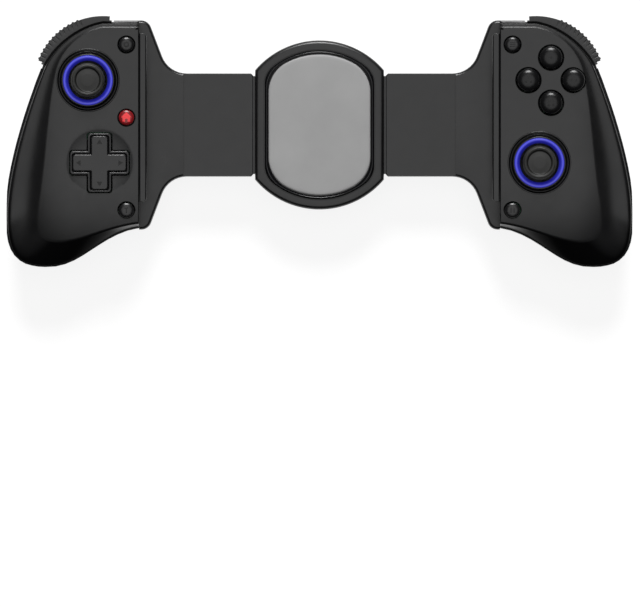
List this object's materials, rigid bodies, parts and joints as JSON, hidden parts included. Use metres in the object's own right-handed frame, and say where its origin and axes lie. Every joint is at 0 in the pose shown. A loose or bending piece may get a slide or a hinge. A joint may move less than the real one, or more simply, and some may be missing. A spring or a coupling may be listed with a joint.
{
  "type": "mobile game controller",
  "caption": "Stretching phone game controller: padded centre bridge with sprung sliding arms, hand grips, thumb sticks, direction pad, buttons, bumpers and triggers.",
  "frame": {"origin": "middle of the part's box seen from the front, on the table it lies on", "axes": "+X to the player's right, +Y towards the shoulder controls, +Z out of the front face"},
  "size_m": [0.2428, 0.0974, 0.0443],
  "materials": {
    "black_shell": "satin moulded black plastic",
    "black_grip": "fine-grained black plastic on the grips",
    "black_gloss": "polished black plastic",
    "grey_pad": "matt grey silicone",
    "blue_ring": "translucent blue light guide",
    "red_button": "glossy red plastic",
    "grey_part": "plain dark grey moulding",
    "white_nylon": "natural nylon",
    "steel": "bright steel",
    "board_green": "green circuit board",
    "amber_film": "amber flat cable",
    "membrane_grey": "soft silicone domes",
    "cell_wrap": "foil pouch"
  },
  "bodies": {
    "bridge": {"bridge_front_cover": "black_shell", "bridge_back_cover": "black_shell", "pad_carrier": "black_gloss", "phone_pad": "grey_pad", "pinion_axle": "steel", "bridge_screws": "steel", "flex_cable": "amber_film"},
    "pinion": {"sync_pinion": "white_nylon"},
    "left_half": {"left_arm_front": "black_shell", "left_arm_back": "black_shell", "left_rack": "grey_part", "left_front_shell": "black_shell", "left_back_shell": "black_grip", "left_clamp_pad": "black_shell", "left_trigger_pin": "steel", "left_board": "board_green", "left_screws": "steel", "left_light_ring": "blue_ring", "left_stick_base": "grey_part", "dpad_membrane": "membrane_grey", "battery": "cell_wrap", "lower_spring": "steel"},
    "right_half": {"right_arm_front": "black_shell", "right_arm_back": "black_shell", "right_rack": "grey_part", "right_front_shell": "black_shell", "right_back_shell": "black_grip", "right_clamp_pad": "black_shell", "right_trigger_pin": "steel", "right_board": "board_green", "right_screws": "steel", "right_light_ring": "blue_ring", "right_stick_base": "grey_part", "face_button_membrane": "membrane_grey", "charge_socket": "steel", "upper_spring": "steel"},
    "dpad_pivot": {"dpad_pivot": "steel"},
    "dpad": {"dpad": "black_gloss"},
    "left_stick_cradle": {"left_stick_cradle": "grey_part"},
    "left_stick_gimbal": {"left_stick_gimbal": "white_nylon"},
    "left_stick": {"left_stick_shaft": "black_gloss", "left_stick_cap": "black_shell"},
    "left_bumper": {"left_bumper": "black_shell"},
    "left_trigger": {"left_trigger": "black_gloss"},
    "right_stick_cradle": {"right_stick_cradle": "grey_part"},
    "right_stick_gimbal": {"right_stick_gimbal": "white_nylon"},
    "right_stick": {"right_stick_shaft": "black_gloss", "right_stick_cap": "black_shell"},
    "right_bumper": {"right_bumper": "black_shell"},
    "right_trigger": {"right_trigger": "black_gloss"},
    "capture_button": {"capture_button": "black_gloss"},
    "home_button": {"home_button": "red_button"},
    "turbo_button": {"turbo_button": "black_gloss"},
    "menu_button": {"menu_button": "black_gloss"},
    "mode_button": {"mode_button": "black_gloss"},
    "face_button_top": {"face_button_top": "black_gloss"},
    "face_button_left": {"face_button_left": "black_gloss"},
    "face_button_right": {"face_button_right": "black_gloss"},
    "face_button_bottom": {"face_button_bottom": "black_gloss"}
  },
  "joints": [
    {"name": "left_slide", "type": "slide", "parent": "bridge", "child": "left_half", "axis": [-1, 0, 0], "range_m": [0, 0.02], "stiffness_N_per_m": 180, "springref_m": -0.02, "deforming": ["lower_spring", "upper_spring", "flex_cable"]},
    {"name": "right_slide", "type": "slide", "parent": "bridge", "child": "right_half", "axis": [1, 0, 0], "range_m": [0, 0.02], "deforming": ["lower_spring", "upper_spring", "flex_cable"]},
    {"name": "pinion_spin", "type": "hinge", "parent": "bridge", "child": "pinion", "pos_m": [0, 0.0065, 0.0164], "axis": [0, 0, 1], "range_deg": [0, 191.1]},
    {"name": "left_stick_click", "type": "slide", "parent": "left_half", "child": "left_stick_cradle", "axis": [0, 0, -1], "range_m": [0, 0.00035], "stiffness_N_per_m": 2500, "springref_m": -0.0004},
    {"name": "left_stick_tilt_x", "type": "hinge", "parent": "left_stick_cradle", "child": "left_stick_gimbal", "pos_m": [-0.0897, 0.0237, 0.0275], "axis": [1, 0, 0], "range_deg": [-15, 15], "stiffness_Nm_per_rad": 0.03},
    {"name": "left_stick_tilt_y", "type": "hinge", "parent": "left_stick_gimbal", "child": "left_stick", "pos_m": [-0.0897, 0.0237, 0.0275], "axis": [0, 1, 0], "range_deg": [-15, 15], "stiffness_Nm_per_rad": 0.03},
    {"name": "right_stick_click", "type": "slide", "parent": "right_half", "child": "right_stick_cradle", "axis": [0, 0, -1], "range_m": [0, 0.00035], "stiffness_N_per_m": 2500, "springref_m": -0.0004},
    {"name": "right_stick_tilt_x", "type": "hinge", "parent": "right_stick_cradle", "child": "right_stick_gimbal", "pos_m": [0.0852, -0.0083, 0.0275], "axis": [1, 0, 0], "range_deg": [-15, 15], "stiffness_Nm_per_rad": 0.03},
    {"name": "right_stick_tilt_y", "type": "hinge", "parent": "right_stick_gimbal", "child": "right_stick", "pos_m": [0.0852, -0.0083, 0.0275], "axis": [0, 1, 0], "range_deg": [-15, 15], "stiffness_Nm_per_rad": 0.03},
    {"name": "dpad_rock_x", "type": "hinge", "parent": "left_half", "child": "dpad_pivot", "pos_m": [-0.0852, -0.0083, 0.0332], "axis": [1, 0, 0], "range_deg": [-5, 5], "stiffness_Nm_per_rad": 0.15},
    {"name": "dpad_rock_y", "type": "hinge", "parent": "dpad_pivot", "child": "dpad", "pos_m": [-0.0852, -0.0083, 0.0332], "axis": [0, 1, 0], "range_deg": [-5, 5], "stiffness_Nm_per_rad": 0.15},
    {"name": "face_button_top_press", "type": "slide", "parent": "right_half", "child": "face_button_top", "axis": [0, 0, -1], "range_m": [0, 0.0011], "stiffness_N_per_m": 500, "springref_m": -0.0006},
    {"name": "face_button_left_press", "type": "slide", "parent": "right_half", "child": "face_button_left", "axis": [0, 0, -1], "range_m": [0, 0.0011], "stiffness_N_per_m": 500, "springref_m": -0.0006},
    {"name": "face_button_right_press", "type": "slide", "parent": "right_half", "child": "face_button_right", "axis": [0, 0, -1], "range_m": [0, 0.0011], "stiffness_N_per_m": 500, "springref_m": -0.0006},
    {"name": "face_button_bottom_press", "type": "slide", "parent": "right_half", "child": "face_button_bottom", "axis": [0, 0, -1], "range_m": [0, 0.0011], "stiffness_N_per_m": 500, "springref_m": -0.0006},
    {"name": "capture_button_press", "type": "slide", "parent": "left_half", "child": "capture_button", "axis": [0, 0, -1], "range_m": [0, 0.0005], "stiffness_N_per_m": 1200, "springref_m": -0.0004},
    {"name": "home_button_press", "type": "slide", "parent": "left_half", "child": "home_button", "axis": [0, 0, -1], "range_m": [0, 0.0005], "stiffness_N_per_m": 1200, "springref_m": -0.0004},
    {"name": "turbo_button_press", "type": "slide", "parent": "left_half", "child": "turbo_button", "axis": [0, 0, -1], "range_m": [0, 0.0005], "stiffness_N_per_m": 1200, "springref_m": -0.0004},
    {"name": "menu_button_press", "type": "slide", "parent": "right_half", "child": "menu_button", "axis": [0, 0, -1], "range_m": [0, 0.0005], "stiffness_N_per_m": 1200, "springref_m": -0.0004},
    {"name": "mode_button_press", "type": "slide", "parent": "right_half", "child": "mode_button", "axis": [0, 0, -1], "range_m": [0, 0.0005], "stiffness_N_per_m": 1200, "springref_m": -0.0004},
    {"name": "left_bumper_press", "type": "hinge", "parent": "left_half", "child": "left_bumper", "pos_m": [-0.079, 0.0431, 0.0236], "axis": [0, 0, 1], "range_deg": [0, 2.5], "stiffness_Nm_per_rad": 1.2, "springref_deg": -1.72},
    {"name": "left_trigger_pull", "type": "hinge", "parent": "left_half", "child": "left_trigger", "pos_m": [-0.09572, 0.04036, 0.0148], "axis": [-0.8434, -0.5373, 0], "range_deg": [0, 12], "stiffness_Nm_per_rad": 0.25, "springref_deg": -8.59},
    {"name": "right_bumper_press", "type": "hinge", "parent": "right_half", "child": "right_bumper", "pos_m": [0.079, 0.0431, 0.0236], "axis": [0, 0, -1], "range_deg": [0, 2.5], "stiffness_Nm_per_rad": 1.2, "springref_deg": -1.72},
    {"name": "right_trigger_pull", "type": "hinge", "parent": "right_half", "child": "right_trigger", "pos_m": [0.09572, 0.04036, 0.0148], "axis": [-0.8434, 0.5373, 0], "range_deg": [0, 12], "stiffness_Nm_per_rad": 0.25, "springref_deg": -8.59}
  ],
  "couplings": [
    {"joint": "right_slide", "follows": "left_slide", "ratio": 1},
    {"joint": "pinion_spin", "follows": "left_slide", "rad_per_m": 166.67}
  ]
}
